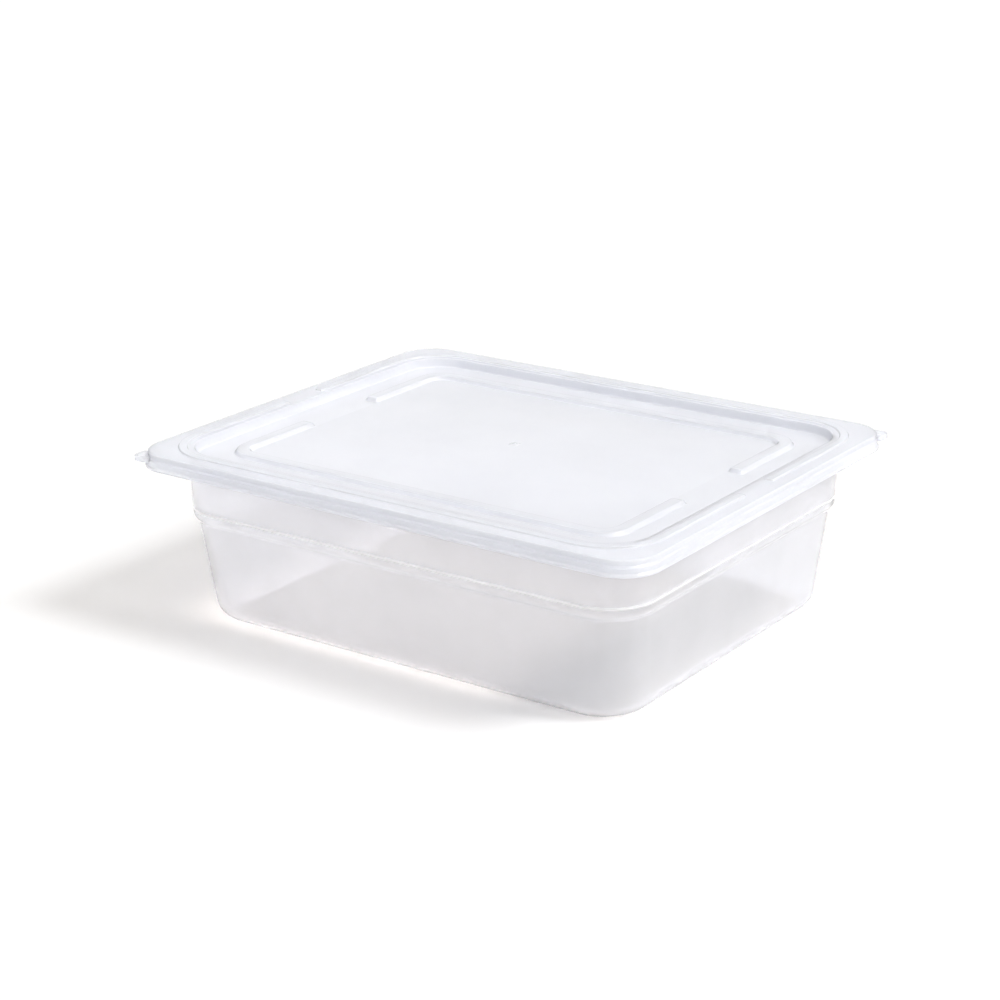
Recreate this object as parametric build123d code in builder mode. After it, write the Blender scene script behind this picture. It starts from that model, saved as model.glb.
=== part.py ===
from build123d import *
import math
import os

# A rectangular food container: a deep pan and the lid that snaps over its flange. Millimetres, +Z up.
# X runs along the length, Y along the width, and the origin is under the middle of the pan's base.

# Overall size of the closed container, over the lid's foot and up to the top of the lid's ridges
container_length = 325.0
container_width = 267.0
container_height = 100.0

# Pan: its wall, measured at the mouth, and the two stretches of the wall above and below the shoulder
pan_wall = 2.2
wall_corner = 28.6
band_depth = 38.0
band_draft_inset = 1.2
shoulder_drop = 3.0
shoulder_inset = 3.0
body_draft_inset = 4.9
base_thickness = 2.2
base_corner = 28.5
base_round = 12.0

# Pan: the flange round the mouth, with its turned-down lip
flange_overhang = 11.1
flange_thickness = 2.5
lip_depth = 3.4
lip_thickness = 1.6
mouth_round = 0.6

# Pan: the ledge inside, a little above the shoulder, and the finer one near the mouth
ledge_rise = 2.7
ledge_width = 2.6
ledge_fall = 0.5
seat_depth = 17.7
seat_width = 0.4
seat_fall = 0.2

# Lid: wall, corner and the stepped skirt
lid_wall = 1.3
lid_corner = 20.0
skirt_depth = 8.5
skirt_step = 0.8
upper_step_drop = 2.9
lower_step_drop = 6.6
step_height = 0.9
edge_round = 0.7

# Lid: the sunk floor and the two C-shaped ridges on the rim round it
recess_depth = 5.0
recess_draft = 17.7
recess_round = 1.2
ridge_height = 1.0
ridge_inset = 7.5
ridge_width = 5.5
ridge_gap = 28.0
ridge_slope = 35.0

# Lid: the two C-shaped beads on the floor, hollow underneath, and the gate mark at the centre
bead_margin = 15.7
bead_width = 9.9
bead_height = 2.2
bead_corner = 19.0
bead_gap = 56.0
bead_slope = 41.0
gate_radius = 2.2
gate_height = 0.4

# Lid: a grip tab at two opposite corners, with three grip ribs on top
tab_side = 11.0
tab_tip_round = 3.6
tab_side_round = 2.0
tab_overhang = 0.4
tab_drop = 2.3
tab_thickness = 2.8
rib_count = 3
rib_length = 4.0
rib_width = 0.8
rib_height = 0.4
rib_pitch = 2.4
rib_setback = 5.5

# Clearances between lid and pan
flange_clearance = 0.4
plug_clearance = 0.5

# Levels
lid_top = container_height - ridge_height
lid_foot = lid_top - skirt_depth
flange_top = lid_top - lid_wall
flange_foot = flange_top - flange_thickness
shoulder_top = lid_top - band_depth
shoulder_foot = shoulder_top - shoulder_drop
ledge_foot = shoulder_top + ledge_rise
ledge_top = ledge_foot + ledge_fall
seat_top = lid_top - seat_depth
seat_foot = seat_top - seat_fall
recess_floor = lid_top - recess_depth
plug_foot = recess_floor - lid_wall

# Outlines, as distances in from the edge of the lid's top
edge_length = container_length - 4 * skirt_step
edge_width = container_width - 4 * skirt_step
flange_inset = lid_wall + flange_clearance
wall_inset = flange_inset + flange_overhang
band_inset = wall_inset + band_draft_inset
body_inset = band_inset + shoulder_inset
base_inset = body_inset + body_draft_inset
plug_inset = wall_inset + pan_wall + plug_clearance
recess_lean = recess_depth * math.tan(math.radians(recess_draft))
recess_inset = plug_inset + lid_wall * (1 - math.tan(math.radians(recess_draft)))
floor_inset = recess_inset + recess_lean
bead_inset = floor_inset + bead_margin
tab_x = edge_length / 2 + tab_overhang
tab_y = edge_width / 2 + tab_overhang


def rim(inset):
    """Length, width and corner radius of an outline that keeps the lid's own corner centres."""
    return edge_length - 2 * inset, edge_width - 2 * inset, lid_corner - inset


def wall(inset):
    """Length, width and corner radius of an outline that keeps the pan wall's corner centres."""
    return edge_length - 2 * inset, edge_width - 2 * inset, wall_corner + wall_inset - inset


def base(inset):
    """Length, width and corner radius of an outline that keeps the base's own corner centres."""
    return edge_length - 2 * inset, edge_width - 2 * inset, base_corner + base_inset - inset


def bead(inset):
    """Length, width and corner radius of an outline this far inside the foot of the floor beads."""
    span = bead_inset + inset
    return edge_length - 2 * span, edge_width - 2 * span, bead_corner - inset


def split_ring(outline, outer, inner, gap, level, height, slope):
    """Two C-shaped ribs with sloping flanks and ends, parted by a gap in the short sides."""
    lean = height * math.tan(math.radians(slope))
    with BuildPart() as ring:
        for inset, turn, mode in ((outer, 1, Mode.ADD), (inner, -1, Mode.SUBTRACT)):
            with BuildSketch(Plane.XY.offset(level)):
                RectangleRounded(*outline(inset))
            with BuildSketch(Plane.XY.offset(level + height)):
                RectangleRounded(*outline(inset + turn * lean))
            loft(ruled=True, mode=mode)
        with BuildSketch(Plane.XY.offset(level)):
            Rectangle(container_length, gap)
        with BuildSketch(Plane.XY.offset(level + height)):
            Rectangle(container_length, gap + 2 * lean)
        loft(ruled=True, mode=Mode.SUBTRACT)
    return ring.part


# The pan's inside: one wall's thickness in from the outside, down to a rounded floor edge. The wall
# steps in at the two ledges.
above_ledge = band_inset + pan_wall
above_seat = above_ledge - seat_width
with BuildPart() as cavity:
    with BuildSketch(Plane.XY.offset(base_thickness)):
        RectangleRounded(*base(base_inset + pan_wall))
    with BuildSketch(Plane.XY.offset(ledge_foot)):
        RectangleRounded(*wall(above_ledge + ledge_width))
    with BuildSketch(Plane.XY.offset(ledge_top)):
        RectangleRounded(*wall(above_ledge))
    with BuildSketch(Plane.XY.offset(seat_foot)):
        RectangleRounded(*wall(above_seat))
    with BuildSketch(Plane.XY.offset(seat_top)):
        RectangleRounded(*wall(above_seat - seat_width))
    with BuildSketch(Plane.XY.offset(flange_top)):
        RectangleRounded(*wall(wall_inset + pan_wall))
    loft(ruled=True)
    fillet(cavity.edges().group_by(Axis.Z)[0], radius=base_round - pan_wall)

# Pan: drafted body, shoulder and upper band in one run of sections, then the flange and its lip
with BuildPart() as pan:
    with BuildSketch(Plane.XY):
        RectangleRounded(*base(base_inset))
    with BuildSketch(Plane.XY.offset(shoulder_foot)):
        RectangleRounded(*wall(body_inset))
    with BuildSketch(Plane.XY.offset(shoulder_top)):
        RectangleRounded(*wall(band_inset))
    with BuildSketch(Plane.XY.offset(flange_top)):
        RectangleRounded(*wall(wall_inset))
    loft(ruled=True)
    fillet(pan.edges().group_by(Axis.Z)[0], radius=base_round)

    with BuildSketch(Plane.XY.offset(flange_foot)):
        RectangleRounded(*rim(flange_inset))
    extrude(amount=flange_thickness)
    with BuildSketch(Plane.XY.offset(flange_foot)):
        RectangleRounded(*rim(flange_inset))
        RectangleRounded(*rim(flange_inset + lip_thickness), mode=Mode.SUBTRACT)
    extrude(amount=-lip_depth)
    add(cavity.part, mode=Mode.SUBTRACT)
    fillet(pan.edges().group_by(Axis.Z)[-1], radius=mouth_round)
pan.part.label = "pan"

# Lid: the stepped skirt under a flat top, hollowed to the same profile one wall further in
skirt = (
    (lid_foot, 2 * skirt_step),
    (lid_top - lower_step_drop - step_height, 2 * skirt_step),
    (lid_top - lower_step_drop, skirt_step),
    (lid_top - upper_step_drop - step_height, skirt_step),
    (lid_top - upper_step_drop, 0),
)
with BuildPart() as lid:
    for level, stand_out in skirt:
        with BuildSketch(Plane.XY.offset(level)):
            RectangleRounded(*rim(-stand_out))
    with BuildSketch(Plane.XY.offset(lid_top)):
        RectangleRounded(*rim(0))
    loft(ruled=True)

    # Two grip tabs fill out opposite corners of the lid's outline, just below its top. Each is drawn
    # from its own corner inwards, with its ribs along the diagonal.
    for turn in (1, -1):
        grip = Plane(
            origin=(turn * tab_x, turn * tab_y, lid_top - tab_drop),
            x_dir=(-turn, 0, 0),
            z_dir=(0, 0, 1),
        )
        with BuildSketch(grip) as tab:
            Rectangle(tab_side, tab_side, align=(Align.MIN, Align.MIN))
            fillet(tab.vertices().sort_by(lambda v: v.X + v.Y)[1:3], radius=tab_side_round)
            fillet(tab.vertices().sort_by(lambda v: v.X + v.Y)[0], radius=tab_tip_round)
        extrude(amount=-tab_thickness)
        with BuildSketch(grip):
            with PolarLocations(rib_setback, 1, start_angle=45):
                with GridLocations(0, rib_pitch, 1, rib_count):
                    SlotOverall(rib_length, rib_width)
        extrude(amount=rib_height)

    for level, stand_out in skirt:
        with BuildSketch(Plane.XY.offset(level)):
            RectangleRounded(*rim(lid_wall - stand_out))
    with BuildSketch(Plane.XY.offset(flange_top)):
        RectangleRounded(*rim(lid_wall))
    loft(ruled=True, mode=Mode.SUBTRACT)

    # The sunk floor: a plug that drops inside the pan's mouth, one wall thick all over
    with BuildSketch(Plane.XY.offset(flange_top)):
        RectangleRounded(*wall(plug_inset))
    with BuildSketch(Plane.XY.offset(plug_foot)):
        RectangleRounded(*wall(plug_inset + recess_lean))
    loft(ruled=True)
    with BuildSketch(Plane.XY.offset(lid_top)):
        RectangleRounded(*wall(recess_inset))
    with BuildSketch(Plane.XY.offset(recess_floor)):
        RectangleRounded(*wall(floor_inset))
    loft(ruled=True, mode=Mode.SUBTRACT)
    fillet(lid.edges().group_by(Axis.Z)[-1], radius=edge_round)
    sunk = lid.edges().filter_by(lambda e: abs(e.center().X) < edge_length / 2 - recess_inset)
    floor_edges = sunk.filter_by(lambda e: abs(e.center().Z - recess_floor) < edge_round)
    fillet(floor_edges, radius=recess_round)

    # Ridges on the rim, then beads on the floor with a groove under each
    add(
        split_ring(
            wall, ridge_inset, ridge_inset + ridge_width, ridge_gap, lid_top, ridge_height, ridge_slope
        )
    )
    add(split_ring(bead, 0, bead_width, bead_gap, recess_floor, bead_height, bead_slope))
    lean = math.radians(bead_slope)
    groove = lid_wall * (1 - math.sin(lean)) / math.cos(lean)
    add(
        split_ring(
            bead,
            groove,
            bead_width - groove,
            bead_gap + 2 * groove,
            plug_foot,
            bead_height,
            bead_slope,
        ),
        mode=Mode.SUBTRACT,
    )
    with Locations((0, 0, recess_floor)):
        Cylinder(gate_radius, gate_height, align=(Align.CENTER, Align.CENTER, Align.MIN))
lid.part.label = "lid"

os.makedirs("parts", exist_ok=True)
export_step(pan.part, "parts/pan.step")
export_step(lid.part, "parts/lid.step")
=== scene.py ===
import bpy
import numpy as np
from mathutils import Matrix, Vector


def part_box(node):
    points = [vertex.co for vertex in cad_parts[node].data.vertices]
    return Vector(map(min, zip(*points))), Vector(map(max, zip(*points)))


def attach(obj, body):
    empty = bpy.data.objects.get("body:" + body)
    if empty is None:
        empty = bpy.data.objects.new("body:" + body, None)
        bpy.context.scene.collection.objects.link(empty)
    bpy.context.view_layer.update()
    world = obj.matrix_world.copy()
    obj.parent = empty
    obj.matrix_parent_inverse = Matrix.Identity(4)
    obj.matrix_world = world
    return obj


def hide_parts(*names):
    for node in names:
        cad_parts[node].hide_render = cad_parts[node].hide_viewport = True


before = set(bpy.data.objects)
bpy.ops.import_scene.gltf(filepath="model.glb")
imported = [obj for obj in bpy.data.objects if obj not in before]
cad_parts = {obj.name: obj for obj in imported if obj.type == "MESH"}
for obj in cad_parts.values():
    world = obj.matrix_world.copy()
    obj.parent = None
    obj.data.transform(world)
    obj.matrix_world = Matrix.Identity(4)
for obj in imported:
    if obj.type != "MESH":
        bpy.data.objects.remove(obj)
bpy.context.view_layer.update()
mm = 0.001

# The pan: one injection moulding in milky polypropylene. Its wall leans out from a rounded base to a
# shoulder and stands nearly upright above it. Inside, a ledge runs round above the shoulder and a
# finer one near the mouth. The top turns out into a flange with a lip, over which the lid snaps.
skirt_stand_out = 1.6 * mm
ridge_height = 1.0 * mm
edge_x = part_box("lid")[1].x - skirt_stand_out
edge_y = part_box("lid")[1].y - skirt_stand_out
lid_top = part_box("lid")[1].z - ridge_height
seat_gap = 0.08 * mm
flange_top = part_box("pan")[1].z - seat_gap
flange_foot = flange_top - 2.4 * mm
lip_foot = flange_top - 5.8 * mm
shoulder_top = lid_top - 38.0 * mm
shoulder_foot = shoulder_top - 3.0 * mm
ledge_top = lid_top - 34.8 * mm
ledge_foot = ledge_top - 0.5 * mm
seat_top = lid_top - 17.7 * mm
seat_foot = seat_top - 0.2 * mm
flange_inset = 1.7 * mm
lip_inset = 3.3 * mm
wall_inset = 12.8 * mm
band_inset = 14.0 * mm
body_inset = 17.0 * mm
base_inset = 21.9 * mm
pan_wall = 2.2 * mm
ledge_width = 2.6 * mm
seat_width = 0.4 * mm
base_corner = 28.5 * mm
base_round = 12.0 * mm
shoulder_foot_round = 3.8 * mm
shoulder_top_round = 5.0 * mm
flange_root_round = 1.2 * mm
flange_edge_round = 0.8 * mm
lip_round = 0.5 * mm
flange_top_round = 0.7 * mm
mouth_round = 0.8 * mm
seat_round = 0.12 * mm
ledge_top_round = 0.15 * mm
ledge_foot_round = 0.25 * mm
wall_corner_centre = 41.4 * mm
lid_corner = 20.0 * mm


def wall_corner(inset):
    """Corner radius of an outline this far in, for corners that share the pan wall's centres."""
    return wall_corner_centre - inset


def rim_corner(inset):
    """Corner radius of an outline this far in, for corners that share the lid's own centres."""
    return lid_corner - inset


def smooth(x):
    """The S-shaped step 3x^2 - 2x^3, held at 0 below x = 0 and at 1 above x = 1."""
    x = np.clip(x, 0, 1)
    return x * x * (3 - 2 * x)


def rounded(corners, steps=9, support=0.35 * mm):
    """Profile through corners (inset, height, outline radius, fillet). A corner's two sides are cut
    back by fillet / tan(half the angle between them), and an arc joins the cuts. A support point
    beside each end of the arc keeps the flat stretches flat when the surface is shaded smoothly. The
    outline radius follows the inset."""
    corners = np.array(corners, float)
    points = [corners[0, :3]]
    for before, here, after in zip(corners, corners[1:], corners[2:]):
        if here[3] == 0:
            points.append(here[:3])
            continue
        to_before = (before - here)[:3] / np.linalg.norm((before - here)[:2])
        to_after = (after - here)[:3] / np.linalg.norm((after - here)[:2])
        half = np.arccos(np.clip(to_before[:2] @ to_after[:2], -1, 1)) / 2
        cut = here[3] / np.tan(half)
        middle = to_before + to_after
        centre = here[:3] + middle / np.linalg.norm(middle[:2]) * here[3] / np.sin(half)
        first, last = here[:3] + to_before * cut, here[:3] + to_after * cut
        sweep = np.pi - 2 * half
        points.append(first + to_before * support)
        for share in np.linspace(0, 1, steps):
            spin = np.sin([(1 - share) * sweep, share * sweep]) / np.sin(sweep)
            arc = centre[:2] + spin[0] * (first - centre)[:2] + spin[1] * (last - centre)[:2]
            across = (arc[0] - first[0]) / (last[0] - first[0])
            points.append([*arc, first[2] + across * (last - first)[2]])
        points.append(last + to_after * support)
    points.append(corners[-1, :3])
    return np.array(points)


def refined(profile, axis, values, start, stop, nearest=0.02 * mm):
    """The profile with extra points where its coordinate on this axis takes these values, each worked
    out on the straight line between its neighbours, within the stretch from start to stop. None comes
    nearer to a neighbour than nearest."""
    out = list(profile[:start])
    for a, b in zip(profile[start:stop], profile[start + 1 : stop + 1]):
        low, high = sorted((a[axis], b[axis]))
        inside = [v for v in values if low + nearest < v < high - nearest]
        out.append(a)
        for v in sorted(inside, reverse=bool(a[axis] > b[axis])):
            out.append(a + (b - a) * (v - a[axis]) / (b[axis] - a[axis]))
    return np.array(out + list(profile[stop:]))


def outline(half_x, half_y, corner, spread, along_x, along_y, angles):
    """A rounded rectangle for each row. A quarter of it runs up the X side, round the corner as
    centre + corner * (cos, sin) and back along the Y side, and is mirrored three times. Straight
    columns keep their own place, times spread, as far as the last one, and then share out what is
    left up to the corner."""
    half_x, half_y, corner, spread = (v[:, None] for v in (half_x, half_y, corner, spread))
    shares = np.array([0.3, 0.65, 0.9, 0.98, 1.0])
    turn = np.radians(angles)[1:-1]

    def side(reach, places):
        end = spread * places[-1]
        return np.concatenate([spread * places, end + shares * (reach - end)], axis=1)

    up = side(half_y - corner, np.array(along_y))
    back = side(half_x - corner, np.array(along_x))[:, ::-1]
    x = np.concatenate([half_x + 0 * up, half_x - corner + corner * np.cos(turn), back], axis=1)
    y = np.concatenate([up, half_y - corner + corner * np.sin(turn), half_y + 0 * back], axis=1)

    def round_about(v, sign_x, sign_y):
        quarters = [
            v[:, :-1],
            sign_x * v[:, :0:-1],
            sign_x * sign_y * v[:, :-1],
            sign_y * v[:, :0:-1],
        ]
        return np.concatenate(quarters, axis=1)

    return round_about(x, -1, 1), round_about(y, 1, -1)


def rings_to_poles(x, y, z, first, last):
    """Vertices and faces of a closed surface whose rows are rings: quads between each ring and the
    next, and a fan from the first and last ring to its pole."""
    rows, columns = x.shape
    vertices = np.stack([x, y, z], axis=-1).reshape(-1, 3)
    vertices = np.concatenate([vertices, [first, last]])
    j = np.arange(columns)
    k = (j + 1) % columns
    i = np.arange(rows - 1)[:, None] * columns
    quads = np.stack([i + j, i + k, i + columns + k, i + columns + j], axis=-1).reshape(-1, 4)
    end = (rows - 1) * columns
    top_fan = np.stack([k, j, np.full(columns, rows * columns)], axis=-1)
    end_fan = np.stack([end + j, end + k, np.full(columns, rows * columns + 1)], axis=-1)
    return vertices, [*quads.tolist(), *top_fan.tolist(), *end_fan.tolist()]


def solid(name, parts):
    """One smooth-shaded object from closed surfaces, each turned so that its signed volume, the sum
    of a . (b x c) over its triangles, is positive and its faces point outwards."""
    vertices, faces = [], []
    for points, polygons in parts:
        fans = np.array([[p[0], a, b] for p in polygons for a, b in zip(p[1:], p[2:])])
        a, b, c = (points[fans[:, n]] for n in range(3))
        if np.einsum("ij,ij->", a, np.cross(b, c)) < 0:
            polygons = [p[::-1] for p in polygons]
        start = sum(len(v) for v in vertices)
        vertices.append(points)
        faces += [[start + n for n in p] for p in polygons]
    mesh = bpy.data.meshes.new(name)
    mesh.from_pydata(np.concatenate(vertices).tolist(), [], faces)
    mesh.shade_smooth()
    mesh.validate()
    piece = bpy.data.objects.new(name, mesh)
    bpy.context.scene.collection.objects.link(piece)
    return piece


def centre_rows(ring, shares, level):
    """Rows (half length, half width, corner, spread, height) that shrink a ring towards its middle."""
    return [[ring[0] * s, ring[1] * s, ring[2] * s, s, level] for s in shares]


def profile_rows(profile):
    """Rows (half length, half width, corner, spread, height) from profile points."""
    inset, level, corner = profile.T
    return np.stack([edge_x - inset, edge_y - inset, corner, 1 + 0 * inset, level], axis=1)


flat_inset = 35.5 * mm
flat_corner = base_corner + base_inset - flat_inset
base_flat = (edge_x - flat_inset, edge_y - flat_inset, flat_corner)
floor_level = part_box("pan")[0].z + 2.2 * mm
mouth_inset = wall_inset + pan_wall
above_ledge = band_inset + pan_wall
below_ledge = above_ledge + ledge_width
above_seat = above_ledge - 2 * seat_width
below_seat = above_seat + seat_width
pan_profile = rounded(
    [
        (flat_inset, 0, flat_corner, 0),
        (base_inset, 0, base_corner, base_round),
        (body_inset, shoulder_foot, wall_corner(body_inset), shoulder_foot_round),
        (band_inset, shoulder_top, wall_corner(band_inset), shoulder_top_round),
        (wall_inset, flange_foot, wall_corner(wall_inset), flange_root_round),
        (lip_inset, flange_foot, rim_corner(lip_inset), flange_edge_round),
        (lip_inset, lip_foot, rim_corner(lip_inset), lip_round),
        (flange_inset, lip_foot, rim_corner(flange_inset), lip_round),
        (flange_inset, flange_top, rim_corner(flange_inset), flange_top_round),
        (mouth_inset, flange_top, wall_corner(mouth_inset), mouth_round),
        (above_seat, seat_top, wall_corner(above_seat), seat_round),
        (below_seat, seat_foot, wall_corner(below_seat), seat_round),
        (above_ledge, ledge_top, wall_corner(above_ledge), ledge_top_round),
        (below_ledge, ledge_foot, wall_corner(below_ledge), ledge_foot_round),
        (base_inset + pan_wall, floor_level, base_corner - pan_wall, base_round - pan_wall),
        (flat_inset, floor_level, flat_corner, 0),
    ]
)
shrink = np.array([0.96, 0.8, 0.6, 0.4, 0.2, 0.08])
rows = np.concatenate(
    [
        centre_rows(base_flat, shrink[::-1], 0),
        profile_rows(pan_profile),
        centre_rows(base_flat, shrink, floor_level),
    ]
)
pan_x, pan_y = outline(
    *rows[:, :4].T,
    along_x=np.array([0, 35, 70]) * mm,
    along_y=np.array([0, 30, 60]) * mm,
    angles=np.arange(0, 91, 2.5),
)
pan_z = rows[:, [4]] + 0 * pan_x
pan = solid(
    "pan_moulding", [rings_to_poles(pan_x, pan_y, pan_z, (0, 0, 0), (0, 0, floor_level))]
)

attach(pan, "pan")
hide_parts("pan")


def worked_out(tree, operation, first, second=0.0):
    """The output of a Math node: the operation on two values, each of them a socket or a number."""
    node = tree.nodes.new("ShaderNodeMath")
    node.operation = operation
    for entry, value in zip(node.inputs, (first, second)):
        if isinstance(value, bpy.types.NodeSocket):
            tree.links.new(value, entry)
        else:
            entry.default_value = value
    return node.outputs["Value"]


def carried_over(tree, value, span, to_span):
    """The output of a Map Range node: a value carried over in proportion from one span to another,
    and held at its ends."""
    node = tree.nodes.new("ShaderNodeMapRange")
    for entry, number in zip(("From Min", "From Max", "To Min", "To Max"), (*span, *to_span)):
        node.inputs[entry].default_value = number
    tree.links.new(value, node.inputs["Value"])
    return node.outputs["Result"]


def noise(tree, place, scale, detail):
    """The output of a Noise Texture with this many grains to the metre."""
    node = tree.nodes.new("ShaderNodeTexNoise")
    node.inputs["Scale"].default_value = scale
    node.inputs["Detail"].default_value = detail
    tree.links.new(place, node.inputs["Vector"])
    return node.outputs["Fac"]


# Painted highlight: a thin band of the pan wall just above the inner ledge is made less clear and so
# whiter, standing in for the ledge's light line.
painted_highlight_line = ledge_top + 1.4 * mm
painted_highlight_core = 0.3 * mm
painted_highlight_reach = 0.9 * mm
painted_highlight_clear = 0.15
base_skin = 2.3 * mm
wall_start = 32.0 * mm
base_through = 0.96


def milky_plastic(name, colour, cloud, clear, roughness, grain, through):
    """Milky polypropylene: a clear body with a white haze in it, uneven as flow marks leave it. A fine
    line round the wall just above the inner ledge is made less clear and so whiter. It is a painted
    highlight that stands in for the light line the ledge's rounded edge throws. It has the fine grain
    of a blasted mould. The body bends light less than the real plastic, whose index traps light in
    the thick stretches and turns them black, and a coat with the real index carries the gloss. Lamps
    shine through, most of all through the base, so that the inside is lit and the shadow is pale."""
    material = bpy.data.materials.new(name)
    material.use_nodes = True
    tree = material.node_tree
    nodes, links = tree.nodes, tree.links
    nodes.clear()
    output = nodes.new("ShaderNodeOutputMaterial")
    body = nodes.new("ShaderNodeBsdfPrincipled")
    body.inputs["IOR"].default_value = 1.15
    body.inputs["Coat Weight"].default_value = 0.6
    body.inputs["Coat IOR"].default_value = 1.49
    body.inputs["Coat Roughness"].default_value = 0.12
    body.inputs["Subsurface Weight"].default_value = 1
    body.inputs["Subsurface Radius"].default_value = (1, 1, 1)
    body.inputs["Subsurface Scale"].default_value = 3 * mm
    place = nodes.new("ShaderNodeTexCoord").outputs["Object"]
    split = nodes.new("ShaderNodeSeparateXYZ")
    links.new(place, split.inputs["Vector"])
    height = split.outputs["Z"]

    flow = noise(tree, place, scale=14, detail=3)
    tint = nodes.new("ShaderNodeMix")
    tint.data_type = "RGBA"
    tint.inputs["A"].default_value = (*colour, 1)
    tint.inputs["B"].default_value = (*cloud, 1)
    links.new(flow, tint.inputs["Factor"])
    links.new(tint.outputs["Result"], body.inputs["Base Color"])

    # Painted highlight: clearness drops in a thin band at a fixed height round the wall, so the haze
    # shows there as a light line.
    off_highlight_line = worked_out(tree, "ABSOLUTE", worked_out(tree, "SUBTRACT", height, painted_highlight_line))
    highlight_clearness = carried_over(tree, off_highlight_line, (painted_highlight_core, painted_highlight_reach), (painted_highlight_clear, 1))
    clearness = worked_out(tree, "MULTIPLY", carried_over(tree, flow, (0, 1), clear), highlight_clearness)
    links.new(clearness, body.inputs["Transmission Weight"])

    speckle = noise(tree, place, scale=260, detail=1)
    links.new(carried_over(tree, speckle, (0, 1), roughness), body.inputs["Roughness"])
    bump = nodes.new("ShaderNodeBump")
    bump.inputs["Strength"].default_value = grain
    bump.inputs["Distance"].default_value = 0.02 * mm
    links.new(speckle, bump.inputs["Height"])
    links.new(bump.outputs["Normal"], body.inputs["Normal"])

    let_through = nodes.new("ShaderNodeBsdfTransparent")
    let_through.inputs["Color"].default_value = (0.96, 0.93, 0.9, 1)
    passed = carried_over(tree, height, (base_skin, wall_start), (base_through, through))
    to_lamp = nodes.new("ShaderNodeLightPath").outputs["Is Shadow Ray"]
    pick = nodes.new("ShaderNodeMixShader")
    links.new(worked_out(tree, "MULTIPLY", to_lamp, passed), pick.inputs["Fac"])
    links.new(body.outputs["BSDF"], pick.inputs[1])
    links.new(let_through.outputs["BSDF"], pick.inputs[2])
    links.new(pick.outputs["Shader"], output.inputs["Surface"])
    return material


pan.data.materials.append(
    milky_plastic(
        "milky_pan_plastic",
        colour=(0.962, 0.966, 0.998),
        cloud=(0.942, 0.947, 0.982),
        clear=(0.72, 0.8),
        roughness=(0.08, 0.12),
        grain=0.1,
        through=0.47,
    )
)

# The lid: one injection moulding in the same plastic, with a faint blue cast. Its stepped skirt goes
# over the pan's flange, two C-shaped ridges stand on its rim, and its floor is sunk for the base of
# the next container, with two C-shaped beads on it and the gate mark at its middle.
lid_wall = 1.3 * mm
under_top = lid_top - lid_wall
recess_floor = lid_top - 5.0 * mm
under_floor = recess_floor - lid_wall
plug_inset = 15.5 * mm
recess_inset = 16.38 * mm
recess_lean = 1.6 * mm
step_out = 0.8 * mm
skirt_depth = 8.5 * mm
upper_step_drop = 2.9 * mm
lower_step_drop = 6.6 * mm
step_height = 0.9 * mm
rim_round = 0.7 * mm
skirt_round = 0.3 * mm
skirt_root_round = 0.4 * mm
recess_mouth_round = 0.7 * mm
recess_floor_round = 1.2 * mm
plug_root_round = 0.6 * mm
plug_foot_round = 1.6 * mm
ridge_start = 7.5 * mm
ridge_end = 13.0 * mm
ridge_slope = 0.8 * mm
ridge_half_gap = 14.0 * mm
bead_start = 33.68 * mm
bead_end = 43.58 * mm
bead_slope = 1.95 * mm
bead_height = 2.2 * mm
bead_half_gap = 28.0 * mm
bead_corner = 19.0 * mm
groove_margin = 0.6 * mm
crown = 2.2 * mm
floor_inset = recess_inset + recess_lean
before_bead = 31.0 * mm
past_bead = 46.0 * mm
corner_before_bead = 19.75 * mm
before_ridge = ridge_start - 0.6 * mm
past_ridge = ridge_end + 0.6 * mm
plug_foot_inset = plug_inset + recess_lean


def bead_outline(inset):
    """Corner radius of an outline this far in, for corners that share the floor beads' centres."""
    return bead_corner + bead_start - inset


def skirt_points(inset):
    """The stepped side of the skirt, from its foot up, this far inside its outer face."""
    steps = (
        (skirt_depth, inset - 2 * step_out),
        (lower_step_drop + step_height, inset - 2 * step_out),
        (lower_step_drop, inset - step_out),
        (upper_step_drop + step_height, inset - step_out),
        (upper_step_drop, inset),
    )
    return [(place, lid_top - drop, rim_corner(place), skirt_round) for drop, place in steps]


under_side = [
    (past_bead, under_floor, bead_outline(past_bead), 0),
    (before_bead, under_floor, corner_before_bead, 0),
    (plug_foot_inset, under_floor, wall_corner(plug_foot_inset), plug_foot_round),
    (plug_inset, under_top, wall_corner(plug_inset), plug_root_round),
    (lid_wall, under_top, rim_corner(lid_wall), skirt_root_round),
]
top_side = [
    (0, lid_top, rim_corner(0), rim_round),
    (before_ridge, lid_top, wall_corner(before_ridge), 0),
    (past_ridge, lid_top, wall_corner(past_ridge), 0),
    (recess_inset, lid_top, wall_corner(recess_inset), recess_mouth_round),
    (floor_inset, recess_floor, wall_corner(floor_inset), recess_floor_round),
    (before_bead, recess_floor, corner_before_bead, 0),
    (past_bead, recess_floor, bead_outline(past_bead), 0),
]
lid_profile = rounded(
    [
        *under_side,
        *skirt_points(lid_wall)[::-1],
        *skirt_points(0),
        *top_side,
    ],
    steps=5,
    support=0.2 * mm,
)

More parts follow.
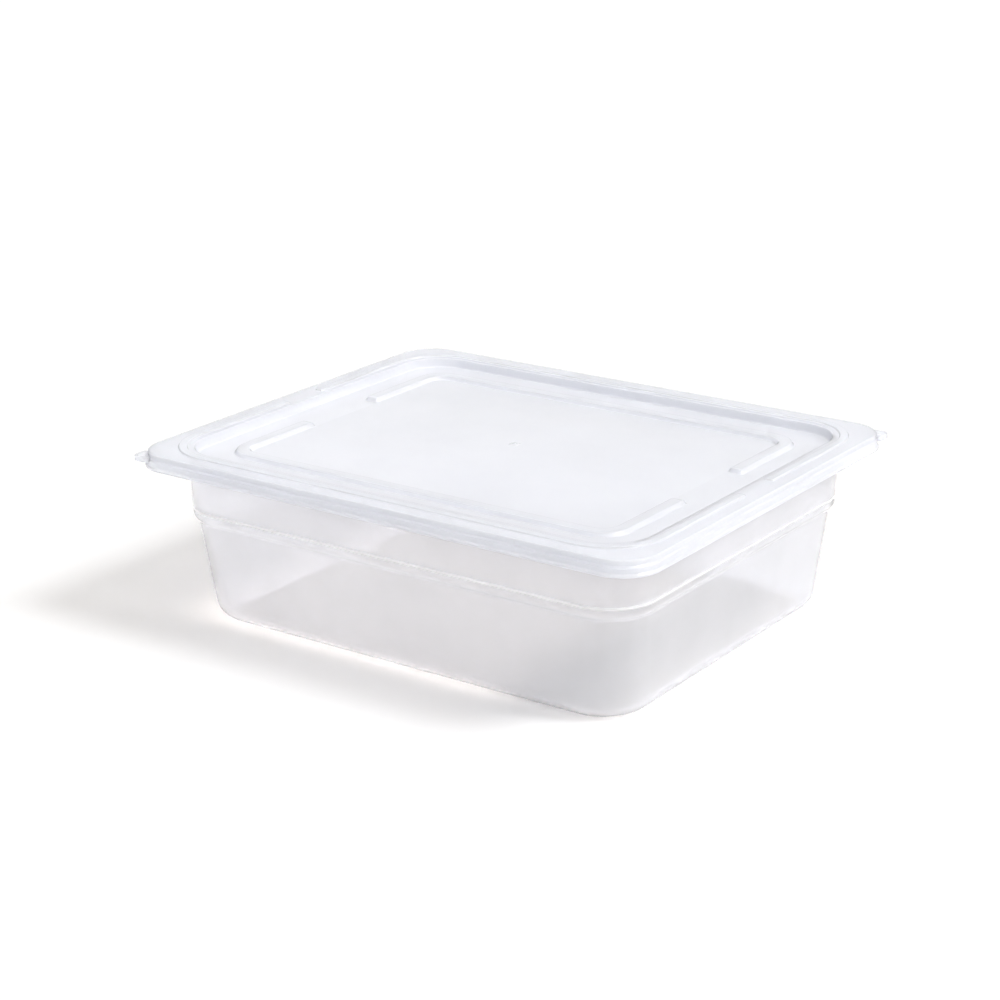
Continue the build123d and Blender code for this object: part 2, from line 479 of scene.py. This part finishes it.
# Rows crowd together on the flanks of the beads and the ridges, and columns where these end.
bead_row_gap = 0.3 * mm
ridge_row_gap = 0.18 * mm
bead_rows = np.concatenate(
    [
        np.arange(bead_start - 0.5 * mm, bead_start + bead_slope + 0.6 * mm, bead_row_gap),
        np.arange(bead_start + 3 * mm, bead_end - 3 * mm, 1 * mm),
        np.arange(bead_end - bead_slope - 0.6 * mm, bead_end + 0.6 * mm, bead_row_gap),
    ]
)
ridge_rows = np.concatenate(
    [
        np.arange(ridge_start - 0.4 * mm, ridge_start + ridge_slope + 0.4 * mm, ridge_row_gap),
        np.arange(ridge_end - ridge_slope - 0.3 * mm, ridge_end + 0.4 * mm, ridge_row_gap),
    ]
)
lid_profile = refined(lid_profile, 0, bead_rows, 0, 1)
foot_row = int(np.argmin(lid_profile[:, 1]))
lid_profile = refined(lid_profile, 0, ridge_rows, foot_row, len(lid_profile) - 2)
lid_profile = refined(lid_profile, 0, bead_rows, len(lid_profile) - 2, len(lid_profile) - 1)
lid_columns = np.concatenate(
    [
        np.array([0, 7]) * mm,
        ridge_half_gap + np.array([-1.5, -0.5, -0.1, 0.2, 0.5, 0.8, 1.2, 2.5]) * mm,
        bead_half_gap + np.array([-6, -1.4, -0.5, 0, 0.4, 0.8, 1.2, 1.6, 2.1, 3, 12, 32]) * mm,
    ]
)

field = (edge_x - past_bead, edge_y - past_bead, bead_outline(past_bead))
field_shares = np.array([0.98, 0.9, 0.8, 0.68, 0.56, 0.44, 0.32, 0.2, 0.1, 0.05])
gate_radii = np.array([3.2, 2.6, 2.2, 1.9, 0.8, 0.5]) * mm
gate_lifts = np.array([0, 0, 0.3, 0.3, 0.25, 0.6]) * mm
gate_corner_share = 0.6
gate_spread = 4.0
gate_rows = [[r, r, gate_corner_share * r, gate_spread * r, recess_floor] for r in gate_radii]
lid_rows = np.concatenate(
    [
        centre_rows(field, field_shares[::-1], under_floor),
        profile_rows(lid_profile),
        centre_rows(field, field_shares, recess_floor),
        gate_rows,
    ]
)
lid_x, lid_y = outline(
    *lid_rows[:, :4].T,
    along_x=np.array([0, 30, 60, 90]) * mm,
    along_y=lid_columns,
    angles=np.concatenate([np.arange(0, 90, 4.5), [90]]),
)


def band(inset, start, end, slope):
    """A rib's cross-section: up an S-shaped flank, flat, and down another."""
    return smooth((inset - start) / slope) * smooth((end - inset) / slope)


lid_inset = edge_x - lid_rows[:, [0]]
lid_number = np.arange(len(lid_rows))[:, None]
on_top = lid_number > len(field_shares) + foot_row
ridges = band(lid_inset, ridge_start, ridge_end, ridge_slope) * ridge_height
ridges = ridges * smooth((np.abs(lid_y) - ridge_half_gap) / ridge_slope) * on_top
in_groove = np.where(on_top, 0, groove_margin)
beads = band(lid_inset, bead_start + in_groove, bead_end - in_groove, bead_slope)
beads = beads * smooth((np.abs(lid_y) - bead_half_gap - in_groove) / bead_slope) * bead_height
dome = np.maximum(1 - (lid_x / (edge_x - bead_end)) ** 2, 0)
dome = dome * np.maximum(1 - (lid_y / (edge_y - bead_end)) ** 2, 0) * crown
dome = dome * (lid_inset > bead_end)
on_floor = lid_inset > before_bead
lid_z = lid_rows[:, [4]] + ridges + on_floor * (beads + dome)
lid_z[-len(gate_lifts) :] += gate_lifts[:, None]

# The lid's grip tabs: flat tongues of the same moulding that fill out two opposite corners, a little
# below the rim. Three ribs run out along each to give the fingers a hold.
tab_overhang = 0.4 * mm
tab_corner_x = edge_x + tab_overhang
tab_corner_y = edge_y + tab_overhang
tab_top = lid_top - 2.3 * mm
tab_foot = tab_top - 2.8 * mm
tab_side = 11.0 * mm
tab_tip_round = 3.6 * mm
tab_side_round = 2.0 * mm
tab_edge = 0.45 * mm
tab_sink = 0.7 * mm
rib_start = 3.4 * mm
rib_stop = 7.4 * mm
rib_ramp = 0.5 * mm
rib_half_width = 0.55 * mm
rib_pitch = 2.4 * mm
rib_height = 0.4 * mm


def tab_outline():
    """Points (from the side, from the other side) along a tab's free edge: the end of one side, its
    rounded corner, the side, half of the round tip, and then the same mirrored."""
    to_arc = lid_corner + tab_overhang
    meets = to_arc - np.sqrt(lid_corner**2 - (to_arc - tab_side) ** 2)
    end = np.linspace(meets, tab_side_round, 3)[:-1]
    turn = np.linspace(0, np.pi / 2, 9)
    corner_side = tab_side - tab_side_round + tab_side_round * np.cos(turn)
    corner_out = tab_side_round - tab_side_round * np.sin(turn)
    side = np.linspace(tab_side - tab_side_round, tab_tip_round, 26)[1:-1]
    tip = np.linspace(0, np.pi / 4, 12)
    along = np.concatenate([tab_side + 0 * end, corner_side, side, tab_tip_round * (1 - np.sin(tip))])
    out = np.concatenate([end, corner_out, 0 * side, tab_tip_round * (1 - np.cos(tip))])
    half = np.stack([along, out], axis=1)
    return np.concatenate([half, half[-2::-1, ::-1]])


def grip_tab(turn):
    """Cross-sections that run in from the tab's free edge to an arc sunk in the lid's corner. Each is
    a bar with rounded outer edges. The ribs are cosine bumps in the distance across the diagonal."""
    edge = tab_outline()
    to_arc = lid_corner + tab_overhang
    first = np.arctan2(*(to_arc - edge[0, ::-1]))
    angles = np.linspace(first, np.pi / 2 - first, len(edge))
    root = to_arc - (lid_corner - tab_sink) * np.stack([np.sin(angles), np.cos(angles)], axis=1)
    span = np.linalg.norm(root - edge, axis=1, keepdims=True)
    rounding = np.linspace(0, np.pi / 2, 5)
    inwards = np.linspace(1, 0, 28)[:-1, None] * (span.T - tab_edge) + tab_edge
    curve = tab_edge * (1 - np.sin(rounding))[:, None] + 0 * span.T
    level = np.concatenate([0 * inwards[:, 0], tab_edge * (1 - np.cos(rounding))])
    reach = np.concatenate([inwards, curve]).T
    reach = np.concatenate([reach, reach[:, ::-1]], axis=1)
    height = np.concatenate([tab_top - level, (tab_foot + level)[::-1]])[None, :] + 0 * reach
    share = (reach / span)[:, :, None]
    place = edge[:, None, :] * (1 - share) + root[:, None, :] * share
    outwards = (place[..., 0] + place[..., 1]) * np.sqrt(0.5)
    across = (place[..., 0] - place[..., 1]) * np.sqrt(0.5)
    ribs = 0 * across
    for middle in (-rib_pitch, 0, rib_pitch):
        ribs += np.cos(np.clip((across - middle) / rib_half_width, -1, 1) * np.pi / 2)
    ends = smooth((outwards - rib_start) / rib_ramp) * smooth((rib_stop - outwards) / rib_ramp)
    height = height + (height == tab_top) * ribs**2 * ends * rib_height
    x = turn * (tab_corner_x - place[..., 0])
    y = turn * (tab_corner_y - place[..., 1])
    half_way = (tab_top + tab_foot) / 2
    start = (x[0].mean(), y[0].mean(), half_way)
    stop = (x[-1].mean(), y[-1].mean(), half_way)
    return rings_to_poles(x, y, height, start, stop)


lid = solid(
    "lid_moulding",
    [
        rings_to_poles(
            lid_x,
            lid_y,
            lid_z,
            (0, 0, under_floor + crown),
            (0, 0, recess_floor + crown + gate_lifts[-1]),
        ),
        grip_tab(1),
        grip_tab(-1),
    ],
)
lid.data.materials.append(
    milky_plastic(
        "milky_lid_plastic",
        colour=(0.905, 0.925, 1.0),
        cloud=(0.885, 0.907, 0.985),
        clear=(0.58, 0.64),
        roughness=(0.16, 0.22),
        grain=0.1,
        through=0.88,
    )
)
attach(lid, "lid")
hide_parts("lid")

# The floor: a wide sheet of white paper. It renders white where the light is full, and keeps the
# container's soft shadow.
floor_size = 12.0


def seen_directly(tree):
    """1 for a ray from the camera or one that has come through clear plastic, 0 for any other."""
    ray = tree.nodes.new("ShaderNodeLightPath").outputs
    return worked_out(tree, "MAXIMUM", ray["Is Camera Ray"], ray["Is Transmission Ray"])


def seen_in_gloss(tree, share):
    """This share for a ray that has come off a glossy surface, 0 for any other."""
    ray = tree.nodes.new("ShaderNodeLightPath").outputs
    return worked_out(tree, "MULTIPLY", ray["Is Glossy Ray"], share)


def paper_floor(name, colour, glow):
    """Pale paper that gives off an even glow for what sees it, so that its lit part is pure white."""
    material = bpy.data.materials.new(name)
    material.use_nodes = True
    tree = material.node_tree
    body = tree.nodes["Principled BSDF"]
    body.inputs["Base Color"].default_value = (*colour, 1)
    body.inputs["Roughness"].default_value = 0.9
    body.inputs["Specular IOR Level"].default_value = 0
    body.inputs["Emission Color"].default_value = (1, 1, 1, 1)
    seen = worked_out(tree, "MAXIMUM", seen_directly(tree), seen_in_gloss(tree, 1))
    tree.links.new(worked_out(tree, "MULTIPLY", seen, glow), body.inputs["Emission Strength"])
    return material


floor_mesh = bpy.data.meshes.new("paper_floor")
corners = np.array([[-1, -1, 0], [1, -1, 0], [1, 1, 0], [-1, 1, 0]]) * floor_size / 2
floor_mesh.from_pydata(corners.tolist(), [], [(0, 1, 2, 3)])
floor = bpy.data.objects.new("paper_floor", floor_mesh)
bpy.context.scene.collection.objects.link(floor)
floor_mesh.materials.append(paper_floor("white_paper", colour=(0.86, 0.86, 0.86), glow=0.1))

# The light: an even, slightly warm room that looks white to the camera, a lamp high up at the right
# and a little behind, which throws the shadow to the left, a wider one in the same place, which
# softens its edge, and a weak wide one low in front.
world = bpy.data.worlds.new("studio")
world.use_nodes = True
bpy.context.scene.world = world
sky = world.node_tree
room = sky.nodes["Background"]
room.inputs["Color"].default_value = (1, 0.98, 0.955, 1)
room.inputs["Strength"].default_value = 0.46
white = sky.nodes.new("ShaderNodeBackground")
white.inputs["Color"].default_value = (1, 1, 1, 1)
white.inputs["Strength"].default_value = 1
white_in_gloss = 0.5
sky_seen = worked_out(sky, "MAXIMUM", seen_directly(sky), seen_in_gloss(sky, white_in_gloss))
sky_pick = sky.nodes.new("ShaderNodeMixShader")
sky.links.new(sky_seen, sky_pick.inputs["Fac"])
sky.links.new(room.outputs["Background"], sky_pick.inputs[1])
sky.links.new(white.outputs["Background"], sky_pick.inputs[2])
sky.links.new(sky_pick.outputs["Shader"], sky.nodes["World Output"].inputs["Surface"])


def far_lamp(name, towards, spread, power, colour):
    """A lamp so far off that it lights everything alike, as wide in the sky as spread degrees, turned
    so that it shines from the direction given."""
    light = bpy.data.lights.new(name, "SUN")
    light.angle = np.radians(spread)
    light.energy = power
    light.color = colour
    made = bpy.data.objects.new(name, light)
    away = np.array(towards, float) / np.linalg.norm(towards)
    right = np.cross([0, 0, 1], away)
    right = right / np.linalg.norm(right)
    up = np.cross(away, right)
    made.matrix_world = Matrix(np.column_stack([right, up, away])).to_4x4()
    bpy.context.scene.collection.objects.link(made)


towards_key = (1, 0.27, 1.17)
towards_fill = (0.3, -1, 0.35)
key_colour = (1, 0.995, 0.99)
far_lamp("key_lamp", towards_key, spread=17, power=1.75, colour=key_colour)
far_lamp("soft_lamp", towards_key, spread=60, power=0.7, colour=key_colour)
far_lamp("fill_lamp", towards_fill, spread=80, power=0.75, colour=(1, 1, 1))

# The camera: a long lens a little above the lid, turned towards the corner at the front.
azimuth, elevation, roll = np.radians([35.3831, 18.8663, -0.5393])
distance = 1.2957
shift_right = -0.00802
shift_up = -0.03322
lens = 85.106
sensor = 36.0
backward = np.array(
    [
        np.sin(azimuth) * np.cos(elevation),
        -np.cos(azimuth) * np.cos(elevation),
        np.sin(elevation),
    ]
)
level_right = np.array([np.cos(azimuth), np.sin(azimuth), 0])
level_up = np.cross(backward, level_right)
right = np.cos(roll) * level_right + np.sin(roll) * level_up
up = np.cos(roll) * level_up - np.sin(roll) * level_right
camera_data = bpy.data.cameras.new("camera")
camera_data.lens = lens
camera_data.sensor_width = sensor
camera_data.clip_end = 50
camera = bpy.data.objects.new("camera", camera_data)
stand = right * shift_right + up * shift_up + backward * distance + np.array([0, 0, lid_top])
turned = Matrix(np.column_stack([right, up, backward])).to_4x4()
camera.matrix_world = Matrix.Translation(stand) @ turned
bpy.context.scene.collection.objects.link(camera)
bpy.context.scene.camera = camera
bpy.context.scene.view_settings.view_transform = "Standard"
